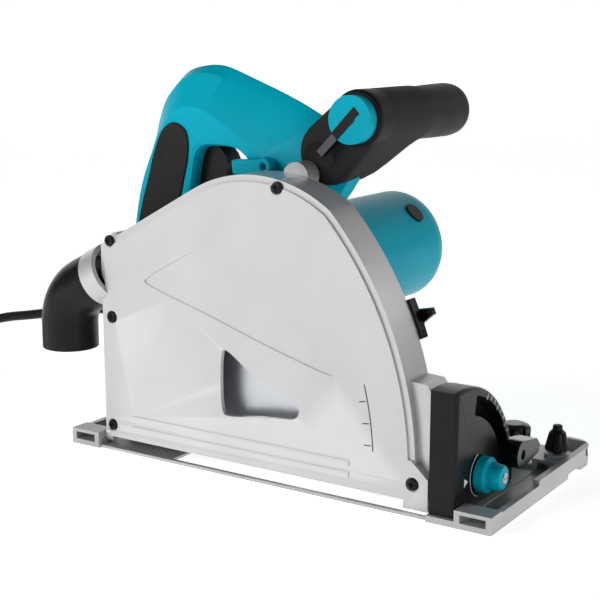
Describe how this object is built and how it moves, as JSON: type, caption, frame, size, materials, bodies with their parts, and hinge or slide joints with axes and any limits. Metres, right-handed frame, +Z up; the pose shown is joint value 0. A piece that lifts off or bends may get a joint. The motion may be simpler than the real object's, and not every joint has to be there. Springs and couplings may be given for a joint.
{
  "type": "track plunge saw",
  "caption": "Corded plunge-cut circular saw for a guide rail: sole plate, tilting blade case, spring-raised motor body with loop handle and front grip.",
  "frame": {"origin": "centre of the sole, on its underside", "axes": "+X forward along the cut, +Y to the motor side, +Z up"},
  "size_m": [0.6045, 0.2336, 0.2497],
  "materials": {
    "teal_plastic": "moulded, fine texture",
    "dark_plastic": "moulded black, satin",
    "grip_rubber": "soft over-moulded rubber, matt",
    "silver_paint": "light silver paint on die-cast metal",
    "cast_aluminium": "tumbled casting",
    "steel": "ground or drawn steel",
    "dark_steel": "blackened steel",
    "copper": "copper windings and segments",
    "carbon": "pressed carbon",
    "cord_rubber": "rubber sheathed cord"
  },
  "bodies": {
    "base": {"base_plate": "cast_aluminium", "front_angle_guide": "dark_plastic", "rear_angle_guide": "dark_plastic", "bevel_pins": "steel", "guide_screws": "dark_steel"},
    "blade_case": {"case_inner": "silver_paint", "case_cover": "silver_paint", "cover_screws": "dark_steel", "plunge_shaft": "steel", "return_spring": "steel", "clamp_bolts": "steel", "cord": "cord_rubber", "cord_coil": "cord_rubber", "plug": "dark_plastic"},
    "saw_body": {"gear_housing": "cast_aluminium", "motor_housing": "teal_plastic", "motor_end_cover": "teal_plastic", "handle_left": "teal_plastic", "handle_right": "teal_plastic", "grip_rubber_left": "grip_rubber", "grip_rubber_right": "grip_rubber", "housing_screws": "dark_steel", "front_grip": "grip_rubber", "front_grip_cap": "teal_plastic", "trigger_switch": "dark_plastic", "brush_caps": "dark_plastic", "carbon_brushes": "carbon", "stator": "steel", "cord_guard": "dark_plastic", "armature_bearings": "steel", "spindle_bearings": "steel"},
    "spindle_group": {"spindle": "steel", "spindle_gear": "steel", "inner_flange": "steel", "outer_flange": "steel", "arbor_bolt": "dark_steel", "saw_blade": "steel"},
    "armature_group": {"armature_shaft": "steel", "armature_core": "copper", "commutator": "copper", "fan": "dark_plastic"},
    "trigger_part": {"trigger": "dark_plastic"},
    "lock_off": {"lock_off_button": "dark_plastic"},
    "lock_lever": {"plunge_lock_lever": "teal_plastic"},
    "shaft_lock": {"shaft_lock_button": "dark_plastic"},
    "dial": {"speed_dial": "dark_plastic"},
    "wrench": {"hex_wrench": "steel"},
    "stop_slider": {"depth_stop_slider": "dark_plastic"},
    "stop_knob": {"depth_stop_knob": "dark_plastic"},
    "nozzle": {"dust_nozzle": "dark_plastic"},
    "front_clamp": {"front_clamp_lever": "dark_plastic"},
    "rear_clamp": {"rear_clamp_lever": "dark_plastic"},
    "selector": {"stop_selector": "teal_plastic"},
    "front_rip": {"front_rip_screw": "dark_plastic"},
    "rear_rip": {"rear_rip_screw": "dark_plastic"},
    "front_adjuster": {"front_rail_adjuster": "dark_plastic"},
    "rear_adjuster": {"rear_rail_adjuster": "dark_plastic"}
  },
  "joints": [
    {"name": "bevel_tilt", "type": "hinge", "parent": "base", "child": "blade_case", "pos_m": [0, -0.066, 0.008], "axis": [1, 0, 0], "range_deg": [-1, 48]},
    {"name": "plunge", "type": "hinge", "parent": "blade_case", "child": "saw_body", "pos_m": [-0.115, -0.0355, 0.023], "axis": [0, 1, 0], "range_deg": [0, 33.2], "stiffness_Nm_per_rad": 4, "springref_deg": -91.67, "deforming": ["return_spring", "cord"]},
    {"name": "blade_spin", "type": "hinge", "parent": "saw_body", "child": "spindle_group", "pos_m": [-0.00989, -0.058, 0.09605], "axis": [0, 1, 0], "continuous": true},
    {"name": "armature_spin", "type": "hinge", "parent": "saw_body", "child": "armature_group", "pos_m": [-0.01349, -0.0259, 0.12168], "axis": [0, 1, 0], "continuous": true},
    {"name": "trigger_pull", "type": "hinge", "parent": "saw_body", "child": "trigger_part", "pos_m": [-0.085, -0.012, 0.199], "axis": [0, 1, 0], "range_deg": [0, 9], "stiffness_Nm_per_rad": 0.4, "springref_deg": -11.46},
    {"name": "lock_off_press", "type": "slide", "parent": "saw_body", "child": "lock_off", "axis": [0, -1, 0], "range_m": [0, 0.003], "stiffness_N_per_m": 300, "springref_m": -0.002},
    {"name": "plunge_lock_turn", "type": "hinge", "parent": "saw_body", "child": "lock_lever", "pos_m": [-0.025, -0.0355, 0.189], "axis": [0, 1, 0], "range_deg": [0, 20]},
    {"name": "shaft_lock_press", "type": "slide", "parent": "saw_body", "child": "shaft_lock", "axis": [0, -1, 0], "range_m": [0, 0.003], "stiffness_N_per_m": 300, "springref_m": -0.002},
    {"name": "speed_dial_turn", "type": "hinge", "parent": "saw_body", "child": "dial", "pos_m": [-0.04544, 0.0751, 0.1333], "axis": [0, 1, 0], "range_deg": [0, 270]},
    {"name": "wrench_pull", "type": "slide", "parent": "saw_body", "child": "wrench", "axis": [0, -1, 0], "range_m": [0, 0.1]},
    {"name": "depth_stop_slide", "type": "hinge", "parent": "blade_case", "child": "stop_slider", "pos_m": [-0.115, -0.044, 0.023], "axis": [0, 1, 0], "range_deg": [-14, 12]},
    {"name": "depth_stop_clamp", "type": "hinge", "parent": "stop_slider", "child": "stop_knob", "pos_m": [0.08136, -0.035, 0.10554], "axis": [0, 1, 0], "range_deg": [-60, 0]},
    {"name": "nozzle_swivel", "type": "hinge", "parent": "blade_case", "child": "nozzle", "pos_m": [-0.142, -0.058, 0.1106], "axis": [-0.891, 0, -0.454], "range_deg": [0, 180]},
    {"name": "front_clamp_turn", "type": "hinge", "parent": "blade_case", "child": "front_clamp", "pos_m": [0.1303, -0.01036, 0.02608], "axis": [1, 0, 0], "range_deg": [0, 60]},
    {"name": "rear_clamp_turn", "type": "hinge", "parent": "blade_case", "child": "rear_clamp", "pos_m": [-0.145, 0.00051, 0.02214], "axis": [1, 0, 0], "range_deg": [0, 60]},
    {"name": "stop_select", "type": "hinge", "parent": "base", "child": "selector", "pos_m": [0.13, -0.044, 0.022], "axis": [1, 0, 0], "range_deg": [-60, 60]},
    {"name": "front_rip_turn", "type": "hinge", "parent": "base", "child": "front_rip", "pos_m": [0.142, 0.042, 0.02], "axis": [0, 0, 1], "range_deg": [0, 270]},
    {"name": "rear_rip_turn", "type": "hinge", "parent": "base", "child": "rear_rip", "pos_m": [-0.142, 0.042, 0.02], "axis": [0, 0, 1], "range_deg": [0, 270]},
    {"name": "front_rail_adjust", "type": "hinge", "parent": "base", "child": "front_adjuster", "pos_m": [0.112, 0.044, 0.015], "axis": [0, 0, 1], "range_deg": [-90, 90]},
    {"name": "rear_rail_adjust", "type": "hinge", "parent": "base", "child": "rear_adjuster", "pos_m": [-0.112, 0.044, 0.015], "axis": [0, 0, 1], "range_deg": [-90, 90]}
  ],
  "couplings": [
    {"joint": "armature_spin", "follows": "blade_spin", "ratio": -4}
  ]
}
